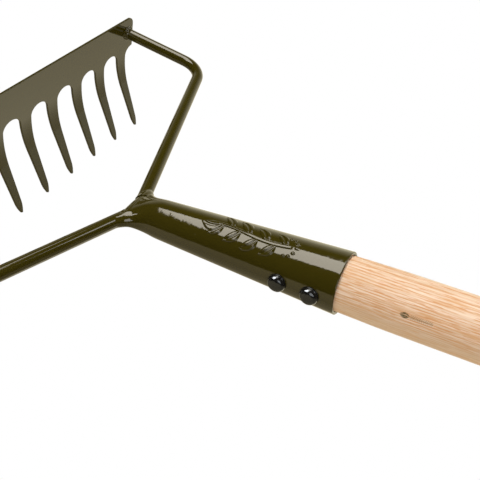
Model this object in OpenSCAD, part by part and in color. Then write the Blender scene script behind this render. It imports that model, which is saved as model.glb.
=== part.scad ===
// Long-handled bow rake: ash shaft, tapered steel socket, two round bow arms
// and a stamped comb of curved tines.
// Frame: origin on the shaft axis where the parallel shaft begins, just
// behind the socket. +Y runs along the shaft towards the head, +X is the
// user's right, +Z is up and the tines point down.

/* [Shaft] */
// Diameter of the parallel shaft
shaft_d = 30; // [26:0.5:36]
// Length of the parallel shaft behind the origin, up to the rounded end
shaft_len = 1300; // [800:10:1500]
// Length over which the shaft swells from the socket mouth to full diameter
swell_len = 30; // [15:1:60]
// Diameter of the shaft where it enters the socket
shaft_mouth_d = 28.9; // [25:0.1:29]
// Depth of the tapered shaft tip inside the socket
tip_depth = 104; // [60:1:104]

/* [Socket] */
// Outer diameter of the socket at its mouth
socket_mouth_d = 32.6; // [32:0.1:36]
// Wall thickness of the socket tube
socket_wall = 1.5; // [1.2:0.1:1.5]
// Radius lost per millimetre of socket length
socket_taper = 0.051; // [0.045:0.001:0.055]
// Length of the conical tube, mouth to the start of the flattened end
socket_cone_len = 106; // [106:1:110]
// Distance from the socket mouth to where the arm axes cross
junction_y = 120.6; // [119:0.1:123]
// Height of that crossing above the shaft axis
junction_z = 0.4; // [0:0.1:1]
// Radius of the rounded flanks of the flattened end
flank_r = 4.8; // [4.6:0.1:5.5]
// Distance from the crossing to the middle of each flank, along the arm
flank_reach = 10.2; // [8:0.1:13]

/* [Rivets] */
// Shank diameter
rivet_d = 4.5; // [3:0.1:5]
// Head diameter
rivet_head_d = 10; // [8:0.1:11]
// Head height above the socket
rivet_head_h = 3.4; // [2:0.1:4]
// Distance of the rear rivet from the socket mouth
rivet_rear_y = 12.2; // [10:0.1:16]
// Distance of the front rivet from the socket mouth
rivet_front_y = 29.7; // [27:0.1:40]
// Height of the rivet axes above the shaft axis
rivet_z = -0.6; // [-2:0.1:1]

/* [Bow] */
// Rod diameter of the arms
rod_d = 7.5; // [6:0.1:8]
// Half the width of the bow, shaft axis to centre of a leg
bow_half_w = 150; // [149:0.5:152]
// Angle of each arm from straight ahead
arm_angle = 72.4; // [70:0.1:74]
// Rise of the bow's plane towards the head
bow_tilt = 12; // [11:0.1:13]
// Centreline radius of the corner bend
bend_r = 20; // [15:1:28]

/* [Head] */
// Number of tines
tine_count = 12; // [12:1:12]
// Distance from tine to tine
tine_pitch = 26; // [25.5:0.1:26.1]
// Sheet thickness
sheet_t = 1.6; // [1.2:0.1:2.5]
// Distance of the head's top edge from the socket mouth
head_y = 226.4; // [224:0.1:229]
// Height of the head's top edge above the shaft axis
head_z = 34.2; // [33:0.1:36]
// Lean of the band, top towards the user
band_lean = 8.5; // [6:0.1:10]
// Height of the solid band above the gaps
band_h = 22.3; // [20:0.1:26]
// Height from top edge to tine tip, along the sheet
head_h = 82.1; // [78:0.1:86]
// Slope of the straight tine ends towards the user
tip_lean = 13.3; // [10:0.1:16]
// Where the tine bend begins, along the sheet
curve_start = 27.2; // [25:0.1:30]
// Where the tine bend ends, along the sheet
curve_end = 50.1; // [45:0.1:55]
// Height of the rounded top of each gap
gap_rise = 6.3; // [5:0.1:8]
// Half the width of a tine at its root
root_half_w = 5.1; // [4.5:0.1:6]
// Half the width of a tine half way down
mid_half_w = 3.7; // [3:0.1:4.5]
// Half the width of a tine where its point begins
low_half_w = 2.64; // [2:0.02:3.2]
// Half the width of the point at its end
tip_half_w = 0.74; // [0.6:0.02:1.2]
// Length of the chamfered point
point_len = 8; // [6:0.5:11]
// How far the band runs past the centre of the last tine
band_end = 13; // [11:0.5:15]

/* [Welds] */
// Leg of the fillet weld where an arm leaves the socket
weld_socket_leg = 1.9; // [1:0.1:2.5]
// Leg of the fillet weld where an arm meets the band
weld_head_leg = 2.8; // [2:0.1:3.5]

/* [Hidden] */
olive = [0.26, 0.24, 0.13];
dark_steel = [0.12, 0.11, 0.1];
fine = 96;   // facets of turned parts and rods
coarse = 32; // facets of the socket's spread end

// ---- shaft and socket
mouth_y = swell_len; // socket mouth
shaft_r = shaft_d / 2;
socket_mouth_r = socket_mouth_d / 2;
// socket radius, outside and inside, y mm past the mouth
function outer_r(y) = socket_mouth_r - socket_taper * y;
function inner_r(y) = outer_r(y) - socket_wall;
hole_fit = 0.1; // added to the rivet diameter

// ---- bow, in its own plane: x to the right, y forward from the crossing
rod_r = rod_d / 2;
arm_start = 5; // inner end of an arm, from the crossing
corner_dist = bow_half_w / sin(arm_angle); // crossing to corner, along the arm
corner_y = corner_dist * cos(arm_angle);
bend_tangent = bend_r * tan(arm_angle / 2);
// where a leg's axis meets the band's rear face: from the mouth, then in the plane
lean_slope = tan(band_lean);
tilt_slope = tan(bow_tilt);
leg_end_y = (head_y + (head_z - junction_z + tilt_slope * junction_y) * lean_slope)
    / (1 + tilt_slope * lean_slope);
leg_end = (leg_end_y - junction_y) / cos(bow_tilt);
weld_bore_r = rod_r + 0.02;

// ---- head: rear face of the sheet as a function of the distance s down it
curve_turn = band_lean + tip_lean;
curve_len = curve_end - curve_start;
curve_r = curve_len / (curve_turn * PI / 180);
curve_top_y = mouth_y + head_y + curve_start * sin(band_lean);
curve_top_z = head_z - curve_start * cos(band_lean);
curve_low_y = curve_top_y + curve_r * (cos(tip_lean) - cos(band_lean));
curve_low_z = curve_top_z - curve_r * (sin(tip_lean) + sin(band_lean));
function slope(s) = s <= curve_start ? -band_lean
    : s >= curve_end ? tip_lean
    : -band_lean + curve_turn * (s - curve_start) / curve_len;
function sheet_y(s) = s <= curve_start ? mouth_y + head_y + s * sin(band_lean)
    : s >= curve_end ? curve_low_y - (s - curve_end) * sin(tip_lean)
    : curve_top_y + curve_r * (cos(slope(s)) - cos(band_lean));
function sheet_z(s) = s <= curve_start ? head_z - s * cos(band_lean)
    : s >= curve_end ? curve_low_z - (s - curve_end) * cos(tip_lean)
    : curve_top_z - curve_r * (sin(slope(s)) + sin(band_lean));

function reversed(list) = [for (i = [len(list) - 1 : -1 : 0]) list[i]];

// side profile [y, z] of the sheet, rear face down and front face back up,
// running past the outline at top and bottom
overrun = 2;
curve_steps = 5;
profile_s = concat([-overrun, 0],
    [for (i = [0 : curve_steps]) curve_start + curve_len * i / curve_steps],
    [head_h + overrun]);
profile = concat(
    [for (s = profile_s) [sheet_y(s), sheet_z(s)]],
    [for (s = reversed(profile_s))
        [sheet_y(s) + sheet_t * cos(slope(s)), sheet_z(s) - sheet_t * sin(slope(s))]]);

// stations down a tine
root_s = band_h + gap_rise;
low_s = head_h - point_len;
mid_s = (root_s + low_s) / 2;
tip_chamfer = 0.5;
tip_flat_half_w = 0.3;
tine_s = [root_s, (root_s + mid_s) / 2, mid_s, (mid_s + low_s) / 2, low_s,
          head_h - tip_chamfer];
function tine_half_w(s) = lookup(s, [[root_s, root_half_w], [mid_s, mid_half_w],
    [low_s, low_half_w], [head_h, tip_half_w]]);
function tine_x(k) = (k - (tine_count - 1) / 2) * tine_pitch;
edge_x = tine_x(tine_count - 1) + band_end;
band_corner_r = 5;

// front outline [x, z] of band and tines
// one tine, down its left edge and up its right edge
function tine_pts(k) = concat(
    [for (s = tine_s) [tine_x(k) - tine_half_w(s), sheet_z(s)]],
    [for (side = [-1, 1]) [tine_x(k) + side * tip_flat_half_w, sheet_z(head_h)]],
    [for (s = reversed(tine_s)) [tine_x(k) + tine_half_w(s), sheet_z(s)]]);
// the rounded top of the gap to the right of tine k
function gap_pts(k) = [for (a = [165 : -15 : 15])
    [tine_x(k) + tine_pitch / 2 + (tine_pitch / 2 - root_half_w) * cos(a),
     sheet_z(root_s - gap_rise * sin(a))]];
// a quarter curve from the last tine out to the end of the band
function end_pts(side) = [for (a = [15 : 15 : 90])
    [side * (edge_x - (band_end - root_half_w) * cos(a)),
     sheet_z(root_s - gap_rise * sin(a))]];
// a rounded top corner of the band
function corner_pts(side) = [for (a = [0 : 15 : 90])
    [side * (edge_x - band_corner_r + band_corner_r * cos(a)),
     head_z - band_corner_r + band_corner_r * sin(a)]];
outline = concat(
    reversed(end_pts(-1)),
    [for (k = [0 : tine_count - 1])
        each concat(tine_pts(k), k < tine_count - 1 ? gap_pts(k) : [])],
    end_pts(1),
    corner_pts(1),
    reversed(corner_pts(-1)));

// lays a solid of revolution along +Y
module along_y(y = 0) {
    translate([0, y, 0]) rotate([-90, 0, 0]) children();
}

// places children in the bow's plane, at the crossing of the arms
module bow_plane() {
    translate([0, mouth_y + junction_y, junction_z]) rotate([bow_tilt, 0, 0]) children();
}

// the same, mirrored for the left side (side = -1)
module bow_side(side) {
    bow_plane() mirror([side < 0 ? 1 : 0, 0, 0]) children();
}

// cutters for both rivet holes, running out past radius r
module rivet_holes(r) {
    reach = r + 3;
    for (y = [rivet_rear_y, rivet_front_y])
        translate([-reach, mouth_y + y, rivet_z]) rotate([0, 90, 0])
            cylinder(d = rivet_d + hole_fit, h = 2 * reach, $fn = fine);
}

// cutter for all that lies ahead of the band's rear face, set back by gap
module ahead_of_band(gap = 0) {
    translate([0, mouth_y + head_y, head_z]) rotate([band_lean, 0, 0])
        translate([-200, -gap, -60]) cube([400, 20, 80]);
}

// turned ash shaft: rounded end, parallel shaft, slight neck at the socket
// and a long taper driven into it, cross-drilled for the rivets
module handle() {
    dome_h = 9;
    dome_step = 0.5;   // the dome is this much smaller in radius
    edge_len = 1.5;
    swell_drop = 0.12; // radius lost part way along the swell
    tip_fit = 0.1;
    tip_bevel = 1.5;
    tip_bevel_len = 2;
    bevel_y = tip_depth - tip_bevel_len;
    tip_r = inner_r(bevel_y) - tip_fit;
    color("burlywood") difference() {
        along_y() rotate_extrude($fn = fine) polygon(concat(
            [for (a = [0 : 10 : 80])
                [(shaft_r - dome_step) * sin(a), -shaft_len - dome_h * cos(a)]],
            [[shaft_r, -shaft_len + edge_len],
             [shaft_r, 0],
             [shaft_r - swell_drop, swell_len * 0.35],
             [shaft_mouth_d / 2, mouth_y],
             [tip_r, mouth_y + bevel_y],
             [tip_r - tip_bevel, mouth_y + tip_depth],
             [0, mouth_y + tip_depth]]));
        rivet_holes(shaft_r);
    }
}

// the flattened, spread end that closes the socket and takes the arms
module spread_end() {
    overlap = 7; // how far back inside the cone it starts
    inset = 0.15;
    hull() {
        along_y(mouth_y + socket_cone_len - overlap)
            cylinder(r = outer_r(socket_cone_len) - inset, h = 0.5, $fn = coarse);
        bow_plane() for (side = [-1, 1])
            translate([side * flank_reach * sin(arm_angle), flank_reach * cos(arm_angle), 0])
                sphere(r = flank_r, $fn = coarse);
    }
}

// tapered tube with a closed, spread end
module socket() {
    mouth_over = 1;  // the bore cutter starts behind the mouth
    bore_past = 0.6; // and ends past the shaft tip
    seat_gap = 0.1;
    seat_fit = 0.04;
    color(olive) difference() {
        union() {
            along_y(mouth_y)
                cylinder(r1 = outer_r(0), r2 = outer_r(socket_cone_len),
                         h = socket_cone_len, $fn = fine);
            spread_end();
        }
        along_y(mouth_y - mouth_over)
            cylinder(r1 = inner_r(-mouth_over), r2 = inner_r(tip_depth + bore_past),
                     h = tip_depth + bore_past + mouth_over, $fn = fine);
        rivet_holes(socket_mouth_r);
        // seats for the ends of the arms
        bow_plane() for (side = [-1, 1]) rotate([0, 0, -side * arm_angle])
            along_y(arm_start - seat_gap) cylinder(d = rod_d + seat_fit, h = 30, $fn = fine);
    }
}

// one arm of the bow: out from the socket, round a bend, ahead to the band
module bow_arm(side) {
    lap = 0.4;      // the straights run this far into the bend
    leg_over = 3;   // spare length, trimmed off at the band
    bend_swell = 0.08;
    arm_len = corner_dist - bend_tangent - arm_start;
    leg_len = leg_end - corner_y - bend_tangent;
    color(olive) difference() {
        // centred on the bend
        bow_side(side) translate([bow_half_w - bend_r, corner_y + bend_tangent, 0]) {
            // the straight arm, back to the socket
            rotate([0, 0, -arm_angle]) translate([bend_r, -arm_len, 0]) rotate([-90, 0, 0])
                cylinder(d = rod_d, h = arm_len + lap, $fn = fine);
            // the bend, a hair fuller than the rod
            rotate([0, 0, -arm_angle]) rotate_extrude(angle = arm_angle, $fn = fine)
                translate([bend_r, 0]) circle(d = rod_d + bend_swell, $fn = fine);
            // the leg, ahead to the band
            translate([bend_r, -lap, 0]) rotate([-90, 0, 0])
                cylinder(d = rod_d, h = leg_len + leg_over + lap, $fn = fine);
        }
        ahead_of_band(gap = 0.02);
    }
}

// stamped comb: one bent sheet, cut to the outline of band and tines
module tine_head() {
    side_over = 5;
    cut_depth = 60;
    color(olive) intersection() {
        rotate([90, 0, 90]) translate([0, 0, -edge_x - side_over])
            linear_extrude(height = 2 * (edge_x + side_over)) polygon(profile);
        translate([0, mouth_y + head_y + cut_depth / 2, 0]) rotate([90, 0, 0])
            linear_extrude(height = cut_depth) polygon(outline);
    }
}

// round-head rivet through socket and shaft, formed at both ends
module rivet(y) {
    head_r = rivet_head_d / 2;
    dome_r = (head_r * head_r + rivet_head_h * rivet_head_h) / (2 * rivet_head_h);
    dome_angle = asin(head_r / dome_r);
    dome_steps = 8;
    base = dome_r - rivet_head_h - 1.1; // sunk below the socket surface
    half_len = outer_r(y) + 1;
    cut = 20; // half length of the cone that fits the heads to the socket
    color(dark_steel) translate([0, mouth_y + y, rivet_z]) {
        translate([-half_len, 0, 0]) rotate([0, 90, 0])
            cylinder(d = rivet_d, h = 2 * half_len, $fn = fine);
        for (side = [-1, 1]) difference() {
            rotate([0, side * 90, 0]) translate([0, 0, outer_r(y) + rivet_head_h - dome_r])
                rotate_extrude($fn = fine) polygon(concat(
                    [[0, base], [head_r, base]],
                    [for (i = [0 : dome_steps]) let (a = dome_angle * (1 - i / dome_steps))
                        [dome_r * sin(a), dome_r * cos(a)]]));
            translate([0, 0, -rivet_z]) along_y(-cut)
                cylinder(r1 = outer_r(y - cut), r2 = outer_r(y + cut), h = 2 * cut, $fn = fine);
        }
    }
}

// fillet weld round the root of an arm
module weld_socket(side) {
    leg = weld_socket_leg;
    color(olive) difference() {
        // section: [radius, distance out along the arm]
        bow_side(side) rotate([0, 0, -arm_angle]) along_y(flank_reach + 1)
            rotate_extrude($fn = fine)
                polygon([[weld_bore_r, 0], [rod_r + leg * 0.6, 0], [rod_r + leg * 0.75, 1.6],
                         [rod_r + leg * 0.45, 3.2], [weld_bore_r, 4.4]]);
        spread_end();
    }
}

// fillet weld round the end of a leg, against the rear face of the band
module weld_head(side) {
    leg = weld_head_leg;
    over = 2; // starts this far ahead of the leg's end, then is trimmed
    color(olive) difference() {
        // section: [radius, distance back along the leg]
        bow_plane() translate([side * bow_half_w, leg_end, 0]) rotate([90, 0, 0])
            translate([0, 0, -over]) rotate_extrude($fn = fine)
                polygon([[weld_bore_r, 0], [rod_r + leg, 0], [rod_r + leg, 2.6],
                         [rod_r + leg * 0.5, 3.6], [weld_bore_r, 5.2]]);
        ahead_of_band();
    }
}

handle();
socket();
bow_arm(-1);  // bow_arm_left
bow_arm(1);  // bow_arm_right
tine_head();
rivet(rivet_front_y);  // rivet_front
rivet(rivet_rear_y);  // rivet_rear
weld_socket(-1);  // weld_socket_left
weld_socket(1);  // weld_socket_right
weld_head(-1);  // weld_head_left
weld_head(1);  // weld_head_right
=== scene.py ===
# A bow rake: an ash shaft in a tapered socket, two bent rod arms and a sheet comb
# of twelve tines. The shaft lies along Y on the origin's axis, its free end at -Y
# and the comb at +Y. The right arm is at +X and the tines point down, -Z.
import math

import bmesh
import bpy
import numpy as np
from mathutils import Matrix, Vector


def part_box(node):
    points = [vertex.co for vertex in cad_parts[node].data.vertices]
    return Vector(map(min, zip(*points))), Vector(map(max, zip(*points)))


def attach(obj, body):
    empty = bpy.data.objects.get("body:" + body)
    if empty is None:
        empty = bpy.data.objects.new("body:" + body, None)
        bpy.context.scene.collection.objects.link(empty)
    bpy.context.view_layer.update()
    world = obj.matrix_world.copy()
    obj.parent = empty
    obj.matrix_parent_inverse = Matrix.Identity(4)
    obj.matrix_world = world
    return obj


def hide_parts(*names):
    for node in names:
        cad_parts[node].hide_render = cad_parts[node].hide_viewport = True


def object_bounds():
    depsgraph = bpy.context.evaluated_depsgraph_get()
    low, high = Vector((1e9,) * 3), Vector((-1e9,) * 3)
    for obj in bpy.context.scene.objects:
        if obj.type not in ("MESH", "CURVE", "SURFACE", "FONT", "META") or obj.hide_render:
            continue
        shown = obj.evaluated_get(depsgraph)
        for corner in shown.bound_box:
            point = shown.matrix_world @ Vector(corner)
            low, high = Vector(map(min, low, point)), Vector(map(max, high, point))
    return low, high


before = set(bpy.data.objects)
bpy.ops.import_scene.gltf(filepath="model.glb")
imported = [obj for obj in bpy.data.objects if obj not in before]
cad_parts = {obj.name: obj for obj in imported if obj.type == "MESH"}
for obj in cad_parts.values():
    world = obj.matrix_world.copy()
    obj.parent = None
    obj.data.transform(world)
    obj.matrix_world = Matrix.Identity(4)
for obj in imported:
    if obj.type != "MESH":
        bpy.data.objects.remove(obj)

cad_lo, cad_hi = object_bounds()
MM = 0.001
rad = math.radians
scene = bpy.context.scene

# ------------------------------------------------------------------ sizes
# Millimetres. Places and main sizes come from the CAD nodes' own boxes.


def box_mm(node):
    lo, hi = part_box(node)
    return np.array(lo) * 1000.0, np.array(hi) * 1000.0


shaft_lo, shaft_hi = box_mm("handle")
socket_lo, socket_hi = box_mm("socket")
front_lo, front_hi = box_mm("rivet_front")
rear_lo, rear_hi = box_mm("rivet_rear")

SHAFT_R = (shaft_hi[0] - shaft_lo[0]) / 2
SHAFT_END = shaft_lo[1]               # free end of the shaft
MOUTH_Y = socket_lo[1]
MOUTH_R = (socket_hi[0] - socket_lo[0]) / 2
TAPER = 0.051                         # radius lost per mm of socket
WALL = 1.5
SHAFT_DEPTH = shaft_hi[1] - MOUTH_Y   # depth of the shaft in the socket
BORE_END = 103.9                      # closed end of the bore, past the mouth

ROD_R = 3.75
BOW_HALF = box_mm("bow_arm_right")[1][0] - ROD_R
ARM_ANGLE = rad(72.4)                 # between an arm and the bow's middle line
TILT = rad(12.0)                      # rise of the bow plane towards +Y
JOIN = 120.6                          # crossing of the arm axes, past the mouth
JOIN_Y, JOIN_Z = MOUTH_Y + JOIN, 0.4
BEND_R = 20.0

SPREAD_Y = 109.0                      # where the socket begins to spread, past the mouth
ROUND_Y = 120.8                       # where its end begins to round over
FLANK_R, FLANK_REACH = 4.8, 10.2      # rounded flanks of the spread end
END_HALF_W = FLANK_REACH * math.sin(ARM_ANGLE) + FLANK_R
END_HALF_H = FLANK_R + 0.25
END_Z = JOIN_Z + FLANK_REACH * math.cos(ARM_ANGLE) * math.sin(TILT)

RIVET_REAR_Y = (rear_lo[1] + rear_hi[1]) / 2
RIVET_FRONT_Y = (front_lo[1] + front_hi[1]) / 2
RIVET_Z = (front_lo[2] + front_hi[2]) / 2
RIVET_OUT = -rear_lo[0]               # reach of a head from the middle plane
RIVET_R = (rear_hi[1] - rear_lo[1]) / 2
RIVET_SEAT = 12.2                     # head height is taken off the cone here
SHANK_R = 2.25
RIVET_DENT = 0.055
WELD_LUMP = 0.09

# Comb: distances down the sheet from its top edge.
COMB_TOP = box_mm("tine_head")[1][2]
COMB_Y = MOUTH_Y + 226.4
LEAN, TIP_LEAN = rad(8.5), rad(13.3)  # slant of the band, and of the points
BEND_START, BEND_STOP, TIP_END = 27.2, 50.1, 82.1
SHEET = 1.6
PITCH, TINES = 26.0, 12
GAP_TOP, ROOT = 22.3, 28.6            # top of the round gaps, and where tines run free
GAP_HALF = 7.9
POINT = 74.1                          # where a tine begins to narrow to its point
ROOT_HALF, MID_HALF, POINT_HALF, TIP_HALF = 5.1, 3.7, 2.64, 0.46
SHEAR_R = 0.34                        # rounding of the sheared edges

# End of the legs along the bow plane, at the band's rear face
lean_slope, tilt_slope = math.tan(LEAN), math.tan(TILT)
leg_y = ((COMB_Y - MOUTH_Y + (COMB_TOP - JOIN_Z + tilt_slope * JOIN) * lean_slope)
         / (1 + tilt_slope * lean_slope))
LEG_V = (leg_y - JOIN) / math.cos(TILT)


def cone_radius(y):
    """Outer radius of the socket cone y mm past the mouth."""
    return MOUTH_R - TAPER * y


def ease(x, start, end):
    """Smooth step from 0 at start to 1 at end."""
    t = np.clip((np.asarray(x, float) - start) / (end - start), 0, 1)
    return t * t * (3 - 2 * t)


# ------------------------------------------------------------------ mesh help
def make_piece(name, verts, faces, material, node):
    """A finished mesh piece, given in millimetres, standing for one CAD node."""
    mesh = bpy.data.meshes.new(name)
    mesh.from_pydata([tuple(v) for v in (np.asarray(verts, float) * MM)], [], faces)
    mesh.validate(clean_customdata=False)
    mesh.polygons.foreach_set("use_smooth", [True] * len(mesh.polygons))
    mesh.update()
    ob = bpy.data.objects.new(name, mesh)
    scene.collection.objects.link(ob)
    mesh.materials.append(material)
    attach(ob, "root")
    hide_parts(node)
    return ob


def weld_doubles(ob, dist):
    bm = bmesh.new()
    bm.from_mesh(ob.data)
    bmesh.ops.remove_doubles(bm, verts=bm.verts, dist=dist)
    bmesh.ops.dissolve_degenerate(bm, dist=dist / 4, edges=bm.edges)
    bm.to_mesh(ob.data)
    bm.free()
    ob.data.update()


def face_outward(ob, sharp):
    """Turn all faces outward, smooth but for edges over sharp degrees."""
    mesh = ob.data
    bm = bmesh.new()
    bm.from_mesh(mesh)
    bmesh.ops.recalc_face_normals(bm, faces=bm.faces)
    bm.to_mesh(mesh)
    bm.free()
    mesh.polygons.foreach_set("use_smooth", [True] * len(mesh.polygons))
    mesh.update()
    mesh.set_sharp_from_angle(angle=rad(sharp))


def circle_angles(count):
    return np.linspace(0, 2 * np.pi, count, endpoint=False)


def tube_faces(rows, count, start=0):
    """Quads between rings of count vertices."""
    faces = []
    for i in range(rows - 1):
        for j in range(count):
            a = start + i * count + j
            b = start + i * count + (j + 1) % count
            faces.append((a, b, b + count, a + count))
    return faces


def join_to_first(last, count):
    """Quads from the ring that starts at vertex last back to the first ring."""
    faces = []
    for j in range(count):
        k = (j + 1) % count
        faces.append((last + j, last + k, k, j))
    return faces


def capped_tube(verts, rows, count, centres):
    """Vertices and faces of a tube closed by fans to its two end centres."""
    faces = tube_faces(rows, count)
    for row, middle in zip((0, rows - 1), centres):
        c = len(verts)
        verts = np.concatenate([verts, [middle]])
        for j in range(count):
            a, b = row * count + j, row * count + (j + 1) % count
            faces.append((c, b, a) if row == 0 else (c, a, b))
    return verts, faces


def ripple(p, scale, seed):
    """Small smooth unevenness, from fixed sines."""
    x, y, z = p[..., 0] / scale, p[..., 1] / scale, p[..., 2] / scale
    return (np.sin(1.7 * x + 2.3 * y + seed) * np.cos(2.1 * z - 1.3 * y + 2 * seed)
            + 0.6 * np.sin(3.9 * y - 3.1 * x + 3 * seed) * np.sin(3.3 * z + 1.7 * x + seed)
            + 0.4 * np.sin(6.1 * x + 5.3 * z - 4.7 * y + 5 * seed)) / 2.0


def ripple_xyz(p, scales, seed):
    return np.stack([ripple(p, scale, seed + i) for i, scale in enumerate(scales)], -1)


# ------------------------------------------------------------------ node help
def feed(tree, source, target):
    """Link a value or socket to an input, or set the input to a plain number."""
    if isinstance(source, Value):
        source = source.socket
    if isinstance(source, bpy.types.NodeSocket):
        tree.links.new(source, target)
    else:
        target.default_value = source


class Value:
    """A socket of a node tree, with arithmetic."""

    def __init__(self, tree, socket):
        self.tree, self.socket = tree, socket

    def _math(self, operation, other=None, swap=False):
        node = self.tree.nodes.new("ShaderNodeMath")
        node.operation = operation
        for target, source in zip(node.inputs, (other, self) if swap else (self, other)):
            if source is not None:
                feed(self.tree, source, target)
        return Value(self.tree, node.outputs[0])

    def __add__(self, other): return self._math("ADD", other)
    def __radd__(self, other): return self._math("ADD", other)
    def __sub__(self, other): return self._math("SUBTRACT", other)
    def __rsub__(self, other): return self._math("SUBTRACT", other, swap=True)
    def __mul__(self, other): return self._math("MULTIPLY", other)
    def __rmul__(self, other): return self._math("MULTIPLY", other)
    def __truediv__(self, other): return self._math("DIVIDE", other)
    def min(self, other): return self._math("MINIMUM", other)
    def max(self, other): return self._math("MAXIMUM", other)
    def abs(self): return self._math("ABSOLUTE")
    def sin(self): return self._math("SINE")
    def sqrt(self): return self._math("SQRT")
    def atan2(self, other): return self._math("ARCTAN2", other)
    def frac(self): return self._math("FRACT")
    def less(self, other): return self._math("LESS_THAN", other)

    def step(self, zero, one):
        """Smooth step, 0 at the first limit and 1 at the second, in either direction."""
        node = self.tree.nodes.new("ShaderNodeMapRange")
        node.interpolation_type = "SMOOTHSTEP"
        feed(self.tree, self, node.inputs["Value"])
        rising = zero <= one
        node.inputs["From Min"].default_value = min(zero, one)
        node.inputs["From Max"].default_value = max(zero, one)
        node.inputs["To Min"].default_value = 0 if rising else 1
        node.inputs["To Max"].default_value = 1 if rising else 0
        return Value(self.tree, node.outputs["Result"])


def separate(tree, vector):
    node = tree.nodes.new("ShaderNodeSeparateXYZ")
    tree.links.new(vector, node.inputs[0])
    return [Value(tree, out) for out in node.outputs]


def combine(tree, *xyz):
    node = tree.nodes.new("ShaderNodeCombineXYZ")
    for target, source in zip(node.inputs, xyz):
        feed(tree, source, target)
    return node.outputs[0]


def noise(tree, vector, scale, detail=2.0, seed=None):
    node = tree.nodes.new("ShaderNodeTexNoise")
    if seed is not None:
        node.noise_dimensions = "4D"
        node.inputs["W"].default_value = seed
    tree.links.new(vector, node.inputs["Vector"])
    node.inputs["Scale"].default_value = scale
    node.inputs["Detail"].default_value = detail
    node.inputs["Roughness"].default_value = 0.5
    return Value(tree, node.outputs[0])


def mix_color(tree, amount, first, second):
    node = tree.nodes.new("ShaderNodeMix")
    node.data_type = "RGBA"
    feed(tree, amount, node.inputs[0])
    for i, color in ((6, first), (7, second)):
        feed(tree, (*color, 1.0) if isinstance(color, tuple) else color, node.inputs[i])
    return node.outputs[2]


def new_material(name):
    """Material, node tree, surface node and object coordinates (metres)."""
    material = bpy.data.materials.new(name)
    material.use_nodes = True
    tree = material.node_tree
    coords = tree.nodes.new("ShaderNodeTexCoord").outputs["Object"]
    return material, tree, tree.nodes["Principled BSDF"], coords


def set_surface(tree, shader, inputs):
    for name, source in inputs.items():
        feed(tree, source, shader.inputs[name])


def bump_chain(tree, heights):
    """Bump nodes in a row: each (height, distance in metres)."""
    last = None
    for height, distance in heights:
        node = tree.nodes.new("ShaderNodeBump")
        node.inputs["Strength"].default_value = 1.0
        node.inputs["Distance"].default_value = distance
        feed(tree, height, node.inputs["Height"])
        if last is not None:
            tree.links.new(last, node.inputs["Normal"])
        last = node.outputs["Normal"]
    return last


# ------------------------------------------------------------------ materials
def paint_material(name, peel=1.0):
    """Glossy olive enamel with slight orange peel, of depth peel, and dust specks."""
    material, tree, shader, coords = new_material(name)
    dark_olive, olive = (0.0315, 0.0255, 0.0022), (0.0400, 0.0328, 0.0034)
    dust = (0.11, 0.10, 0.055)
    broad = noise(tree, coords, scale=55.0)
    fine = noise(tree, coords, scale=900.0)
    tone = (broad - 0.5) * 0.5 + (fine - 0.5) * 0.25
    base = mix_color(tree, (tone + 0.5).max(0.0).min(1.0), dark_olive, olive)
    # specks: the hearts of about one cell in ten
    cells = tree.nodes.new("ShaderNodeTexVoronoi")
    cells.inputs["Scale"].default_value = 210.0
    tree.links.new(coords, cells.inputs["Vector"])
    chance = separate(tree, cells.outputs["Color"])[0]
    speck = Value(tree, cells.outputs["Distance"]).step(0.16, 0.05) * chance.step(0.90, 0.93)
    color = mix_color(tree, speck * 0.35, base, dust)
    # mean roughness, its variation, and the duller specks
    rough = (0.075 + (noise(tree, coords, scale=320.0, detail=3.0, seed=4.0) - 0.5) * 0.05
             + speck * 0.10)
    wave = noise(tree, coords, scale=190.0, detail=1.0, seed=1.5)
    small = noise(tree, coords, scale=620.0, detail=1.5, seed=2.5)
    bump = bump_chain(tree, [(wave, 5.2e-5 * peel), (small, 2.3e-5 * peel), (speck, 2.5e-5)])
    set_surface(tree, shader, {"Base Color": color, "Roughness": rough.max(0.02),
                               "IOR": 1.5, "Normal": bump})
    return material


def rivet_material():
    """Black enamelled steel, lightly uneven."""
    material, tree, shader, coords = new_material("rivet_black")
    dents = noise(tree, coords, scale=480.0, detail=3.0)
    fine = noise(tree, coords, scale=1500.0)
    color = mix_color(tree, dents, (0.0065, 0.0062, 0.0060), (0.0120, 0.0112, 0.0105))
    set_surface(tree, shader, {
        "Base Color": color, "Roughness": 0.09 + fine * 0.07, "IOR": 1.52,
        "Specular Tint": (0.84, 0.91, 1.0, 1.0),
        "Normal": bump_chain(tree, [(dents, 1.3e-4), (fine, 3.0e-5)])})
    return material


def burnt_mark(tree, coords, x, y, z):
    """Strength of a small burnt mark on the shaft's -X side, near the socket."""
    centre_y = (MOUTH_Y - 38.5) * MM
    centre_angle = rad(65.5)              # from the top towards -X
    almond_y, almond_half, almond_w = 0.0052, 0.0026, 0.00155
    around = x.atan2(z) * (SHAFT_R * MM)  # arc length from the top, metres
    along = y - centre_y
    across = around + centre_angle * SHAFT_R * MM
    # a dark almond with a bare, slightly wavy middle line
    place = along - almond_y
    bulge = (1.0 - (place / almond_half) * (place / almond_half)).max(0.0)
    width = bulge * almond_w
    almond = ((width - across.abs()).step(0.0, 0.00030)
              * (across + 0.00035 * (along * 900.0).sin()).abs().step(0.00006, 0.00020))
    # behind it a fainter stem with short oblique strokes
    stem = across.abs().step(0.00026, 0.00012)
    strokes = ((along + across.abs() * 0.8) * 1150.0).frac()
    strokes = (strokes.step(0.05, 0.20) * strokes.step(0.62, 0.48)
               * across.abs().step(0.00120, 0.00100))
    frond = stem.max(strokes * 0.8) * (along + 0.0026).abs().less(0.0053) * 0.62
    patchy = noise(tree, coords, scale=2600.0, detail=1.0, seed=31.0).step(0.24, 0.50)
    return almond.max(frond) * patchy


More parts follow.
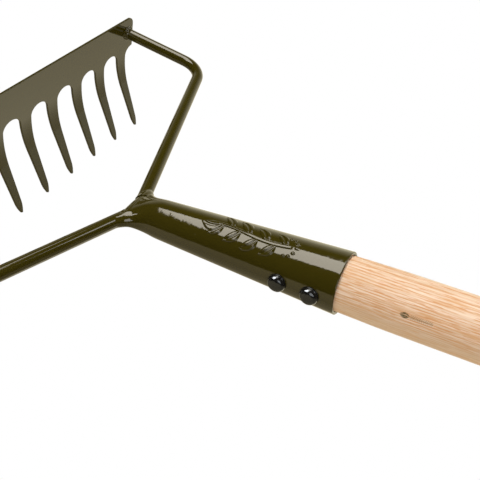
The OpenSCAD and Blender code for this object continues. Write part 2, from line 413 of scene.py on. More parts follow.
def wood_material():
    """Oiled ash: growth rings cut by the turning, open pores along the grain."""
    material, tree, shader, coords = new_material("ash_wood")
    x, y, z = separate(tree, coords)

    def drawn_out(squeeze):
        """Coordinates that draw a texture out along the shaft."""
        return combine(tree, x, y * squeeze, z)

    slow = drawn_out(0.045)
    warp = noise(tree, slow, scale=48.0, seed=3.0) - 0.5
    fine_warp = noise(tree, slow, scale=190.0, seed=6.0) - 0.5
    # rings round a heart some way off the shaft
    heart_x, heart_z, ring_width = 0.034, 0.046, 0.00118
    from_x = x + heart_x
    from_z = z + heart_z
    radius = ((from_x * from_x + from_z * from_z).sqrt() + warp * 0.0040
              + fine_warp * 0.0014 + y * 0.0016)
    phase = (radius / ring_width).frac()
    early = phase.step(0.0, 0.10) * phase.step(0.62, 0.26)      # porous early wood
    late = phase.step(0.35, 0.97)
    # pores: short dashes along y
    dash = noise(tree, drawn_out(0.060), scale=2600.0, detail=1.5, seed=7.0).step(0.50, 0.66)
    # broken orange streaks and pale ones between, weaker low on the -X side: painted light, the
    # grain fades there so that the shaded underside is painted paler and flatter
    side = x.atan2(z).step(rad(-104), rad(-66)) * 0.60 + 0.40
    streak = noise(tree, drawn_out(0.066), scale=1900.0, detail=2.5, seed=9.0)
    streak = streak.step(0.51, 0.61) * side
    wide = noise(tree, drawn_out(0.040), scale=720.0, seed=10.0).step(0.52, 0.64)
    pale = noise(tree, drawn_out(0.046), scale=1250.0, seed=13.0).step(0.49, 0.61) * side
    broad = noise(tree, slow, scale=34.0, seed=12.0).step(0.30, 0.70)
    flecks = noise(tree, drawn_out(0.12), scale=1700.0, detail=1.0, seed=15.0).step(0.62, 0.75)
    pins = noise(tree, drawn_out(0.16), scale=900.0, seed=21.0).step(0.735, 0.775)
    burn = burnt_mark(tree, coords, x, y, z)
    color = mix_color(tree, broad, (0.700, 0.542, 0.418), (0.622, 0.460, 0.324))
    # each layer: (cover, colour), laid over those before it
    layers = [
        (late * 0.22, (0.610, 0.400, 0.250)),
        # side: painted light, fewer dark streaks low on the shaded -X side
        (early * (0.62 + dash * 0.38) * side, (0.570, 0.278, 0.118)),
        (wide * 0.50, (0.610, 0.330, 0.152)),
        (pale * 0.50, (0.820, 0.710, 0.630)),
        (streak * (0.55 + early * 0.35), (0.570, 0.265, 0.100)),
        (flecks * 0.25, (0.86, 0.66, 0.47)),        # pale medullary flecks
        (pins * 0.55, (0.30, 0.13, 0.05)),          # rare dark pins
        (burn * 0.96, (0.070, 0.055, 0.018)),
    ]
    for cover, layer_color in layers:
        color = mix_color(tree, cover, color, layer_color)
    # the surface stands at 1 and sinks in pores, streaks and the burnt mark
    height = 1.0 - (early * dash * 0.9 + streak * 0.35).min(1.0) - burn * 0.6
    set_surface(tree, shader, {
        "Base Color": color, "Roughness": 0.52 + dash * 0.18 - late * 0.06,
        "IOR": 1.42, "Specular IOR Level": 0.40,
        "Normal": bump_chain(tree, [(height, 6.0e-5)])})
    return material


PAINT = paint_material("olive_enamel")
PAINT_SHEET = paint_material("olive_enamel_sheet", peel=0.55)
RIVET = rivet_material()
PAINT_ROD = paint_material("olive_enamel_rod", peel=0.45)
WOOD = wood_material()


# ------------------------------------------------------------------ distances
# Every socket cross section is a superellipse: round in the cone, flattened and
# spread at the end that takes the arms.
def soft_ramp(y, start, end, soft):
    """Straight from 0 at start to 1 at end, with a rounded start."""
    u = (y - start) / (end - start)
    soft = soft / (end - start)
    w = np.clip((u + soft) / (2 * soft), 0, 1)
    return np.minimum(np.where(u < soft, soft * w * w, u), 1.0)


def sections(y):
    """Half width, half height, exponent and centre height, y mm past the mouth."""
    y = np.minimum(y, ROUND_Y)
    cone, cone_end = cone_radius(y), cone_radius(ROUND_Y)
    rise = soft_ramp(y, SPREAD_Y + 0.8, ROUND_Y, soft=6.0)
    spread = soft_ramp(y, SPREAD_Y + 3.5, ROUND_Y, soft=4.0)
    return (cone + (END_HALF_W - cone_end) * spread, cone + (END_HALF_H - cone_end) * rise,
            2.0 + 0.12 * rise, END_Z * rise)


def section_dist(x, z, half_w, half_h, power):
    """Distance from a superellipse, good to first order."""
    x = np.maximum(np.abs(x) / half_w, 1e-6)
    z = np.maximum(np.abs(z) / half_h, 1e-6)
    f = (x ** power + z ** power) ** (1 / power)
    grad_x = f ** (1 - power) * x ** (power - 1) / half_w
    grad_z = f ** (1 - power) * z ** (power - 1) / half_h
    return (f - 1) / np.sqrt(grad_x * grad_x + grad_z * grad_z + 1e-12)


def socket_dist(p):
    y = p[..., 1] - MOUTH_Y
    half_w, half_h, power, centre_z = sections(y)
    flat = section_dist(p[..., 0], p[..., 2] - centre_z, half_w, half_h, power)
    over = np.maximum(y - ROUND_Y, 0)
    core = np.maximum(flat + half_h, 0)
    return np.where(over > 0, np.sqrt(core * core + over * over) - half_h, flat) * 0.98


JOINT = np.array([0, JOIN_Y, JOIN_Z])


def arm_direction(side):
    return np.array([side * math.sin(ARM_ANGLE), math.cos(ARM_ANGLE) * math.cos(TILT),
                     math.cos(ARM_ANGLE) * math.sin(TILT)])


def arm_dist(p, side):
    direction = arm_direction(side)
    q = p - JOINT
    along = np.maximum(q @ direction, 0)
    return np.linalg.norm(q - along[..., None] * direction, axis=-1) - ROD_R


def smooth_min(a, b, k):
    h = np.maximum(k - np.abs(a - b), 0) / k
    return np.minimum(a, b) - h * h * k / 4


def from_bow(u, v, w):
    """Bow plane (across, along, above) to the rake's frame."""
    u, v, w = np.broadcast_arrays(u, v, w)
    return np.stack([u, JOIN_Y + v * math.cos(TILT) - w * math.sin(TILT),
                     JOIN_Z + v * math.sin(TILT) + w * math.cos(TILT)], -1)


# ------------------------------------------------------------------ sprig
# Raised on the top of the socket: plain leaves on a stem.
MARK_START, MARK_STOP = 26.0, 79.0    # past the mouth
MARK_SPAN = MARK_STOP - MARK_START
MARK_ANGLE = rad(15.0)                # its middle line, from the top towards -X
MARK_HALF = 8.2                       # half its height, mm of arc


def leaf(u, v, root_u, root_v, angle, length, width):
    """Relief of one almond leaf with a sunk rib; the blade bows a little."""
    c, s = math.cos(angle), math.sin(angle)
    a = (u - root_u) * c + (v - root_v) * s
    b = -(u - root_u) * s + (v - root_v) * c
    b = b - 0.10 * length * np.sin(np.pi * np.clip(a / length, 0, 1)) * (1 if angle > 0 else -1)
    k = a / length                    # 0 at the root, 1 at the tip
    half = np.where((k > 0) & (k < 1), np.sin(np.pi * np.clip(k, 0, 1) ** 0.85) * width, -1.0)
    rib = 1 - ease(np.abs(b), 0.25, 0.95)
    sunk = 0.46 * rib * ease(k, 0.0, 0.12) * (1 - ease(k, 0.78, 0.96))
    return ease(half - np.abs(b), 0.0, 0.90) * (0.66 - sunk)


def mark_height(y, angle):
    """Relief at y past the mouth and angle from the top towards -X."""
    u = y - MARK_START
    v = (angle - MARK_ANGLE) * cone_radius(y)

    def stem_line(q):
        return 1.3 * np.sin(q / MARK_SPAN * 2 * np.pi)

    stem = 1 - ease(np.abs(v - stem_line(u)), 0.45, 1.15)
    stem = stem * ease(u, 0.5, 3.0) * (1 - ease(u, MARK_SPAN - 7.0, MARK_SPAN - 5.0))
    shapes = [0.56 * stem]
    for i in range(8):                # side leaves, turn about
        root = 4.5 + i * 5.0
        side = 1 if i % 2 else -1
        size = 1.0 - 0.04 * abs(i - 3.5)
        shapes.append(leaf(u, v, root, float(stem_line(root)), side * rad(43),
                           length=12.4 * size, width=2.95 * size))
    shapes.append(leaf(u, v, MARK_SPAN - 12.0, 0.0, rad(1), length=11.6, width=3.1))
    for i in range(7):                # berries round the root of the stem
        t = rad(-96 + i * 32)
        berry_u, berry_v = 2.6 - 4.4 * math.cos(t) + 1.2, 5.6 * math.sin(t)
        shapes.append(0.55 * (1 - ease(np.hypot(u - berry_u, v - berry_v), 0.35, 1.05)))
    return np.maximum.reduce(shapes)


# ------------------------------------------------------------------ socket
def settle_on_socket(p):
    """Move points on to the socket's exact surface."""
    for _ in range(4):
        dist = socket_dist(p)
        grad = np.stack([(socket_dist(p + e) - socket_dist(p - e)) / 0.02
                         for e in np.eye(3) * 0.01], -1)
        grad[:, 1] = np.where(np.abs(grad[:, 1]) < 1e-3, 0, grad[:, 1])
        p = p - 0.8 * (dist / np.maximum((grad * grad).sum(1), 0.2))[:, None] * grad
    return p


def build_socket():
    # columns by angle from the top towards -X, finer over the sprig
    half = MARK_HALF / 13.6
    first, last = MARK_ANGLE - half, MARK_ANGLE + half
    over_mark = np.linspace(first - 0.03, last + 0.03, 132)
    rest = np.linspace(last + 0.03, first - 0.03 + 2 * np.pi, 142)[1:-1]
    angle = np.concatenate([over_mark, rest])
    count = len(angle)
    sin_a, cos_a = np.sin(angle), np.cos(angle)
    wrapped = (angle + np.pi) % (2 * np.pi) - np.pi

    def ring(half_w, half_h, power, centre_z, y):
        q = 2.0 / power
        x = -half_w * np.sign(sin_a) * np.abs(sin_a) ** q
        z = half_h * np.sign(cos_a) * np.abs(cos_a) ** q
        return np.stack([x, np.full(count, MOUTH_Y + y), z + centre_z], 1)

    def round_ring(r, y):
        return ring(r, r, 2.0, 0.0, y)

    # the sawn end of the tube: inner corner, then outer corner, both just broken
    corner = 0.45
    rings = []
    for degrees in np.linspace(0, 90, 5):
        t = rad(degrees)
        rings.append(round_ring(MOUTH_R - WALL + corner * (1 - math.cos(t)),
                                corner * (1 - math.sin(t))))
    for degrees in np.linspace(0, 90, 6):
        t = rad(degrees)
        rings.append(round_ring(MOUTH_R - corner + corner * math.sin(t),
                                corner * (1 - math.cos(t))))
    stations = np.concatenate([
        np.linspace(corner + 0.3, MARK_START - 1, 18),
        np.linspace(MARK_START - 1, MARK_STOP + 1, 210)[1:],
        np.linspace(MARK_STOP + 1, 88, 10)[1:],
        np.linspace(88, ROUND_Y, 60)[1:],
    ])
    for y in stations:
        row = ring(*(float(v) for v in sections(y)), y)
        if MARK_START - 1 <= y <= MARK_STOP + 1:
            height = mark_height(np.full(count, y), wrapped)
            r = np.hypot(row[:, 0], row[:, 2])
            row[:, 0] *= (r + height) / r
            row[:, 2] *= (r + height) / r
        rings.append(row)
    settle_from = (len(rings) - 12) * count
    # the end rounds over to a narrow slit, capped below
    half_w, half_h, power, centre_z = (float(v) for v in sections(ROUND_Y))
    for degrees in np.linspace(0, 90, 18)[1:]:
        t = rad(degrees)
        c = max(math.cos(t), 0.03)
        rings.append(ring(half_w - half_h * (1 - c), half_h * c, power, centre_z,
                          ROUND_Y + half_h * math.sin(t)))
    verts = np.concatenate(rings)
    verts[settle_from:] = settle_on_socket(verts[settle_from:])
    faces = tube_faces(len(rings), count)
    slit = (len(rings) - 1) * count

    # the bore, from its closed inner end back to the lip
    bore = []
    for y in np.concatenate([[BORE_END], np.linspace(103.5, 0.9, 26)]):
        bore.append(round_ring(cone_radius(y) - WALL - (0.6 if y > 103.6 else 0.0), y))
    base = len(verts)
    verts = np.concatenate([verts] + bore)
    faces += tube_faces(len(bore), count, start=base)
    faces += join_to_first(base + (len(bore) - 1) * count, count)
    c = len(verts)
    tip = verts[slit:slit + count]
    verts = np.concatenate([verts, [[0, MOUTH_Y + BORE_END, 0]],
                            [(tip.min(0) + tip.max(0)) / 2]])
    for j in range(count):
        k = (j + 1) % count
        faces.append((c, base + k, base + j))
        faces.append((c + 1, slit + j, slit + k))
    ob = make_piece("socket_tube", verts, faces, PAINT, "socket")
    weld_doubles(ob, 1.0e-6)
    face_outward(ob, sharp=60)


# ------------------------------------------------------------------ bow arms
def arm_path(side):
    """Stations along one arm, and their tangents, in the bow plane."""
    corner_len = BOW_HALF / math.sin(ARM_ANGLE)
    corner_v = corner_len * math.cos(ARM_ANGLE)
    setback = BEND_R * math.tan(ARM_ANGLE / 2)
    points, tangents = [], []
    along = np.array([math.sin(ARM_ANGLE), math.cos(ARM_ANGLE)])
    for length in np.concatenate([np.linspace(3, 30, 19),
                                  np.linspace(30, corner_len - setback, 62)[1:]]):
        points.append(along * length)
        tangents.append(along)
    centre = np.array([BOW_HALF - BEND_R, corner_v + setback])
    for turned in np.linspace(0, ARM_ANGLE, 26)[1:]:
        left = ARM_ANGLE - turned     # still to turn
        points.append(centre + BEND_R * np.array([math.cos(left), -math.sin(left)]))
        tangents.append(np.array([math.sin(left), math.cos(left)]))
    for v in np.linspace(corner_v + setback, LEG_V + 0.5, 24)[1:]:
        points.append(np.array([BOW_HALF, v]))
        tangents.append(np.array([0.0, 1.0]))
    points, tangents = np.array(points), np.array(tangents)
    points[:, 0] *= side
    tangents[:, 0] *= side
    return points, tangents


def build_arm(side, word):
    count = 56
    th = circle_angles(count)
    rings = []
    for (u, v), (along_u, along_v) in zip(*arm_path(side)):
        rings.append(from_bow(u + ROD_R * np.cos(th) * along_v,
                              v + ROD_R * np.cos(th) * -along_u, ROD_R * np.sin(th)))
    verts = np.concatenate(rings)
    # drawn rod is never perfectly straight
    verts = verts + 0.05 * ripple_xyz(verts, (34.0, 41.0, 38.0), 1.0 + side)
    verts, faces = capped_tube(verts, len(rings), count, [rings[0].mean(0), rings[-1].mean(0)])
    face_outward(make_piece(f"arm_rod_{word}", verts, faces, PAINT_ROD, f"bow_arm_{word}"),
                 sharp=60)


def build_socket_weld(side, word):
    """Fillet weld that runs the spread end of the socket into the arm."""
    count, fillet = 132, (2.7 if side > 0 else 3.9)
    lump_size = WELD_LUMP if side > 0 else 0.55 * WELD_LUMP
    reach = ROD_R + fillet + 0.4
    nearest = 2.4
    along = arm_direction(side)
    rear = np.array([side * math.cos(ARM_ANGLE), -math.sin(ARM_ANGLE) * math.cos(TILT),
                     -math.sin(ARM_ANGLE) * math.sin(TILT)])
    up = np.array([0, -math.sin(TILT), math.cos(TILT)])
    th = circle_angles(count)
    stations = np.linspace(8.0, 25.0, 74)
    rays = np.cos(th)[:, None] * rear + np.sin(th)[:, None] * up
    steps = np.linspace(nearest, 13.0, 260)
    each = np.arange(count)
    rings = []
    for length in stations:
        centre = JOINT + along * length
        points = centre + rays[:, None, :] * steps[None, :, None]
        a = socket_dist(points) + 0.02
        b = arm_dist(points, side) + 0.02
        lump = (ripple(points, 2.3, 4.0 + side) + 0.5) * lump_size
        near = np.clip(1 - np.abs(a - b) / (fillet * 0.75), 0, 1)
        # the fillet is smaller and smoother on the +Y side of the arm
        ahead = ease(((points - JOINT) @ -rear) / ROD_R, -0.4, 0.5)
        field = (smooth_min(a, b, fillet + (1.2 - fillet) * ahead)
                 - lump * near * near * (1 - 0.8 * ahead))
        if side > 0:
            # the bead itself, left as laid on this side
            seam = np.sqrt(np.maximum(a, 0) ** 2 + np.maximum(b, 0) ** 2
                           + np.minimum(np.maximum(a, b), 0) ** 2)
            field = smooth_min(field, seam - 1.10 * (1 - 0.55 * ahead) - 0.5 * lump, 1.5)
        # first crossing of the surface along each ray
        inside = field < 0
        first = np.where(inside.all(1), len(steps) - 1, np.argmax(~inside, 1))
        first = np.maximum(first, 1)
        f1 = field[each, first]
        f0 = field[each, first - 1]
        share = np.where((f1 > 0) & (f0 <= 0),
                         f0 / np.where(np.abs(f0 - f1) < 1e-9, 1, f0 - f1), 0)
        t = steps[first - 1] + share * (steps[1] - steps[0])
        # where the ray leaves through the socket itself, stay inside it
        deep = a < -0.8
        last_deep = steps[len(steps) - 1 - np.argmax(deep[:, ::-1], 1)]
        through = (t > reach) | inside.all(1)
        t = np.where(through & deep.any(1), np.minimum(last_deep, reach),
                     np.minimum(t, reach + 0.6))
        rings.append(centre + rays * t[:, None])
    verts, faces = capped_tube(np.concatenate(rings), len(rings), count,
                               [JOINT + along * stations[0], JOINT + along * stations[-1]])
    face_outward(make_piece(f"fillet_socket_{word}", verts, faces, PAINT,
                            f"weld_socket_{word}"), sharp=80)


def build_head_weld(side, word):
    """Fillet weld round the end of a leg, against the band."""
    count, profile_count = 96, 18
    th = circle_angles(count)
    leg = 2.1                         # reach of the fillet over the band
    rearward = np.array([0, -math.cos(LEAN), -math.sin(LEAN)])   # off the band's rear face
    foot = from_bow(side * BOW_HALF, LEG_V, 0.0)
    along = np.array([0, math.cos(TILT), math.sin(TILT)])
    ex = np.array([1.0, 0, 0])
    radial = np.cos(th)[:, None] * ex + np.sin(th)[:, None] * np.cross(along, ex)
    rings = []
    for i in range(profile_count):
        # concave quarter round: from the rod out to the band
        q = i / (profile_count - 1)
        a = q * math.pi / 2
        outward = leg * (1 - math.cos(a))
        back = leg * 1.15 * (1 - math.sin(a))
        bead = 0.12 * np.sin(th * 17 + 0.9 * np.sin(th * 3)) * math.sin(math.pi * q)
        bulge = 0.30 * math.sin(math.pi * q)
        points = foot + radial * (ROD_R - 0.04 + outward + bulge + bead)[:, None]
        # slide along the rod until it sits "back" off the band's rear face
        dist = (points - foot) @ rearward
        slide = (dist - (back + bulge + bead - 0.06)) / (along @ -rearward)
        rings.append(points + slide[:, None] * along)
    # sunk ends: a ring inside the rod, one inside the sheet, and one to join them
    rings = [rings[0] - radial * 0.5] + rings + [
        rings[-1] + along * 0.5, foot + radial * (ROD_R - 0.6) + along * 0.4]
    faces = tube_faces(len(rings), count) + join_to_first((len(rings) - 1) * count, count)
    face_outward(make_piece(f"fillet_head_{word}", np.concatenate(rings), faces, PAINT,
                            f"weld_head_{word}"), sharp=60)


# ------------------------------------------------------------------ comb
def head_frame(s):
    """Y, z and slant of the sheet's rear face, s mm down it."""
    bend_r = (BEND_STOP - BEND_START) / (LEAN + TIP_LEAN)
    y1, z1 = COMB_Y + BEND_START * math.sin(LEAN), COMB_TOP - BEND_START * math.cos(LEAN)
    slant = np.where(s <= BEND_START, -LEAN,
                     np.where(s >= BEND_STOP, TIP_LEAN, -LEAN + (s - BEND_START) / bend_r))
    turn = -LEAN + (np.clip(s, BEND_START, BEND_STOP) - BEND_START) / bend_r
    y = y1 + bend_r * (np.cos(turn) - math.cos(LEAN))
    z = z1 - bend_r * (np.sin(turn) + math.sin(LEAN))
    above = np.where(s < BEND_START, s - BEND_START, 0)
    below = np.where(s > BEND_STOP, s - BEND_STOP, 0)
    y = y + above * math.sin(LEAN) - below * math.sin(TIP_LEAN)
    z = z - above * math.cos(LEAN) - below * math.cos(TIP_LEAN)
    return y, z, slant


def tine_rows():
    """Rows of one tine's inset face: (distance down, half width, corner cut)."""
    b = SHEAR_R
    half = PITCH / 2
    corner = 5.0                      # rounding of the band's top corners
    rows = []
    for a in np.linspace(0, 90, 9):
        rows.append((corner - (corner - b) * math.cos(rad(a)), half,
                     (corner - b) * (1 - math.sin(rad(a)))))
    for s in np.linspace(corner, GAP_TOP - b, 9)[1:]:
        rows.append((s, half, 0.0))
    for a in np.linspace(90, 0, 15)[1:]:
        rows.append((ROOT - (ROOT - GAP_TOP + b) * math.sin(rad(a)),
                     half - (GAP_HALF + b) * math.cos(rad(a)), 0.0))
    for s in np.linspace(ROOT, POINT, 24)[1:]:
        width = np.interp(s, [ROOT, (ROOT + POINT) / 2, POINT],
                          [ROOT_HALF, MID_HALF, POINT_HALF])
        rows.append((s, float(width) - b, 0.0))
    for s in np.linspace(POINT, TIP_END - 1.1, 9)[1:]:
        k = (s - POINT) / (TIP_END - POINT)
        rows.append((s, float(POINT_HALF - (POINT_HALF - TIP_HALF) * k ** 1.85) - b, 0.0))
    # blunt rounded end of the point
    s_end, w_end = rows[-1][:2]
    for a in (30, 55, 75):
        rows.append((s_end + (TIP_END - b - s_end) * math.sin(rad(a)),
                     w_end * math.cos(rad(a)), 0.0))
    rows.append((TIP_END - b, w_end * 0.10, 0.0))
    return np.array(rows)


def comb_face():
    """Points (across, down) and faces of the whole inset face."""
    columns = np.array([-1, -0.93, -0.75, -0.5, -0.25, 0, 0.25, 0.5, 0.75, 0.93, 1.0])
    known, points, faces = {}, [], []

    def vertex(x, s):
        """Index of a point, shared with neighbours at the same place."""
        place = (round(x * 2000), round(s * 2000))
        if place not in known:
            known[place] = len(points)
            points.append((x, s))
        return known[place]

    rows = tine_rows()
    for tine in range(TINES):
        middle = (tine - (TINES - 1) / 2) * PITCH
        ids = []
        for s, half, cut in rows:
            xs = middle + columns * half
            # the band's free ends are inset and have round corners
            end_half = half - SHEAR_R - cut if s <= GAP_TOP - SHEAR_R + 1e-6 else half
            if tine == TINES - 1:
                xs = np.where(columns > 0, middle + columns * end_half, xs)
            if tine == 0:
                xs = np.where(columns < 0, middle + columns * end_half, xs)
            ids.append([vertex(x, s) for x in xs])
        for upper, lower in zip(ids[:-1], ids[1:]):
            for j in range(len(columns) - 1):
                quad = (upper[j], upper[j + 1], lower[j + 1], lower[j])
                face = list(dict.fromkeys(quad))       # repeated corners dropped
                if len(face) >= 3:
                    faces.append(face)
    return np.array(points), faces


def boundary_loop(faces):
    edges = {(a, c) for face in faces for a, c in zip(face, face[1:] + face[:1])}
    following = {a: c for (a, c) in edges if (c, a) not in edges}
    start = min(following)
    loop = [start]
    while following[loop[-1]] != start:
        loop.append(following[loop[-1]])
    return loop


def edge_normals(start, end):
    """Outward normals of edges that run with the face on their left."""
    d = end - start
    d /= np.linalg.norm(d, axis=1)[:, None] + 1e-12
    return np.stack([d[:, 1], -d[:, 0]], 1)


def build_comb():
    face_points, face_list = comb_face()
    loop = boundary_loop(face_list)
    rim = face_points[loop]
    after = edge_normals(rim, np.roll(rim, -1, 0))
    outward = edge_normals(np.roll(rim, 1, 0), rim) + after
    outward /= np.linalg.norm(outward, axis=1)[:, None]
    mitre = 1 / np.clip(np.sum(outward * after, axis=1), 0.6, 1)

    # layers: (points, depth in the sheet, turn of the normal from the rear face,
    # sideways normal)
    n0, n_loop = len(face_points), len(loop)
    flat_side = np.zeros((n0, 2))
    layers = [(face_points, 0.0, 0.0, flat_side), (face_points, SHEET, math.pi, flat_side)]
    quarter = [rad(a) for a in (22.5, 45, 67.5, 90)]
    ring_turns = [(a, SHEAR_R * (1 - math.cos(a)), a) for a in quarter]
    ring_turns += [(a, SHEET - SHEAR_R * (1 - math.cos(a)), math.pi - a) for a in quarter[::-1]]
    for a, depth, turn in ring_turns:
        offset = SHEAR_R * math.sin(a)
        layers.append((rim + outward * (offset * mitre)[:, None], depth, turn, outward))
    flat = np.concatenate([points for points, _, _, _ in layers])
    depth = np.concatenate([np.full(len(points), depth) for points, depth, _, _ in layers])
    facing = np.concatenate([np.full(len(points), math.cos(turn))
                             for points, _, turn, _ in layers])
    sideways = np.concatenate([side * math.sin(turn) for _, _, turn, side in layers])

    y, z, slant = head_frame(flat[:, 1])
    forward = np.stack([np.zeros_like(y), np.cos(slant), -np.sin(slant)], 1)
    down = np.stack([np.zeros_like(y), -np.sin(slant), -np.cos(slant)], 1)
    verts = np.stack([flat[:, 0], y, z], 1) + forward * depth[:, None]
    normals = (-forward * facing[:, None] + sideways[:, :1] * np.array([1.0, 0, 0])
               + down * sideways[:, 1:])
    normals /= np.linalg.norm(normals, axis=1)[:, None]

    faces = [tuple(face) for face in face_list]
    faces += [tuple(n0 + v for v in reversed(face)) for face in face_list]
    rings = [loop]
    rings += [[2 * n0 + r * n_loop + i for i in range(n_loop)] for r in range(len(ring_turns))]
    rings += [[n0 + v for v in loop]]
    for a, c in zip(rings[:-1], rings[1:]):
        for i in range(n_loop):
            k = (i + 1) % n_loop
            faces.append((a[k], a[i], c[i], c[k]))
    mesh = make_piece("tine_comb", verts, faces, PAINT_SHEET, "tine_head").data
    mesh.flip_normals()               # the faces were laid looking into the sheet
    mesh.normals_split_custom_set_from_vertices([tuple(n) for n in normals])


# ------------------------------------------------------------------ rivets
def build_rivet(y, word):
    """Dome heads on both sides, on one shank."""
    count = 64
    th = circle_angles(count)
    seat = cone_radius(y - MOUTH_Y)
    head_h = RIVET_OUT - cone_radius(RIVET_SEAT)
    profile = []                      # (radius, distance out from the middle plane)
    for degrees in np.linspace(0, 90, 30):
        # full round head with a flattened top
        q = rad(degrees)
        profile.append((RIVET_R * max(math.sin(q), 0.0) ** 0.52,
                        seat - 0.2 + (head_h + 0.2) * max(math.cos(q), 0.0) ** 0.86))
    # skirt down to the tube, then the shank
    r0, x0 = profile[-1]
    profile += [(r0 - 0.06, x0 - 0.55), (r0 - 0.30, x0 - 0.85),
                (SHANK_R, x0 - 1.0), (SHANK_R, 0.0)]
    rings = []
    for side, half in ((-1, profile), (1, profile[::-1][1:])):
        for r, x in half:
            r = max(r, 0.03)
            rings.append(np.stack([np.full(count, side * x), y + r * np.cos(th),
                                   RIVET_Z + r * np.sin(th)], 1))
    verts = np.concatenate(rings)
    verts = verts + RIVET_DENT * ripple_xyz(verts, (2.1, 2.4, 2.3), 0.3 * y)
    faces = tube_faces(len(rings), count)
    faces.append(tuple(range(count))[::-1])
    last = (len(rings) - 1) * count
    faces.append(tuple(range(last, last + count)))
    face_outward(make_piece(f"dome_rivet_{word}", verts, faces, RIVET, f"rivet_{word}"), sharp=50)


# ------------------------------------------------------------------ shaft
def shaft_profile():
    """(radius, y) from the rounded free end to the end inside the socket."""
    profile = []
    for degrees in np.linspace(6, 88, 14):
        t = rad(degrees)
        profile.append(((SHAFT_R - 0.4) * math.sin(t), SHAFT_END + 9 * (1 - math.cos(t))))
    for y in (SHAFT_END + 10.2, SHAFT_END + 12.0, *np.linspace(SHAFT_END + 24, -12, 96)):
        profile.append((SHAFT_R, y))
    # neck: (y, radius lost)
    neck = [(-6, 0.0), (0, 0.01), (6, 0.05), (10.5, 0.12), (16, 0.24), (22, 0.38),
            (MOUTH_Y - 3, 0.50), (MOUTH_Y, 0.55), (MOUTH_Y + 1, 0.58)]
    for y, loss in neck:
        profile.append((SHAFT_R - loss, y))
    for depth in (6, 20, 40, 60, 80, SHAFT_DEPTH - 2):
        profile.append((cone_radius(depth) - WALL - 0.12, MOUTH_Y + depth))
    profile.append((cone_radius(SHAFT_DEPTH) - WALL - 1.6, MOUTH_Y + SHAFT_DEPTH))
    return profile


def build_shaft():
    count = 144
    th = circle_angles(count)
    rings = [np.stack([r * np.sin(th), np.full(count, y), r * np.cos(th)], 1)
             for r, y in shaft_profile()]
    verts = np.concatenate(rings)
    # spokeshaved, not perfectly round
    around = np.arctan2(verts[:, 0], verts[:, 2])
    uneven = 1 + (0.0022 * np.sin(3 * around + verts[:, 1] / 210.0)
                  * (verts[:, 1] < MOUTH_Y - 5))
    verts[:, 0] *= uneven
    verts[:, 2] *= uneven
    faces = tube_faces(len(rings), count)
    c = len(verts)
    verts = np.concatenate([verts, [[0, SHAFT_END, 0], [0, MOUTH_Y + SHAFT_DEPTH, 0]]])
    last = (len(rings) - 1) * count
    for j in range(count):
        k = (j + 1) % count
        faces.append((c, k, j))
        faces.append((c + 1, last + j, last + k))
    face_outward(make_piece("ash_shaft", verts, faces, WOOD, "handle"), sharp=50)


SIDES = ((-1, "left"), (1, "right"))

build_shaft()
build_socket()
for side, word in SIDES:
    build_arm(side, word)
build_comb()
build_rivet(RIVET_REAR_Y, "rear")
build_rivet(RIVET_FRONT_Y, "front")
for side, word in SIDES:
    build_socket_weld(side, word)
for side, word in SIDES:
    build_head_weld(side, word)


# ------------------------------------------------------------------ camera
def add_camera():
    """Above the shaft on the -X side, looking down past the socket."""
    cam = bpy.data.cameras.new("camera")
    cam.sensor_width = 36.0
    cam.lens = 54.216
    cam.clip_start = 0.01
    cam.clip_end = 50.0
    ob = bpy.data.objects.new("camera", cam)
    scene.collection.objects.link(ob)
    right = Vector((0.4623, -0.8864, 0.0241)).normalized()
    look = Vector((0.6966, 0.3463, -0.6283))
    look = (look - right * look.dot(right)).normalized()
    matrix = Matrix((right, right.cross(look), -look)).transposed().to_4x4()
    from_mouth = Vector((-0.257947, -0.070159, 0.237057))
    matrix.translation = Vector((0.0, MOUTH_Y * MM, 0.0)) + from_mouth
    ob.matrix_world = matrix
    scene.camera = ob
    return ob


# ------------------------------------------------------------------ studio
def tan_deg(degrees):
    return math.tan(rad(degrees))


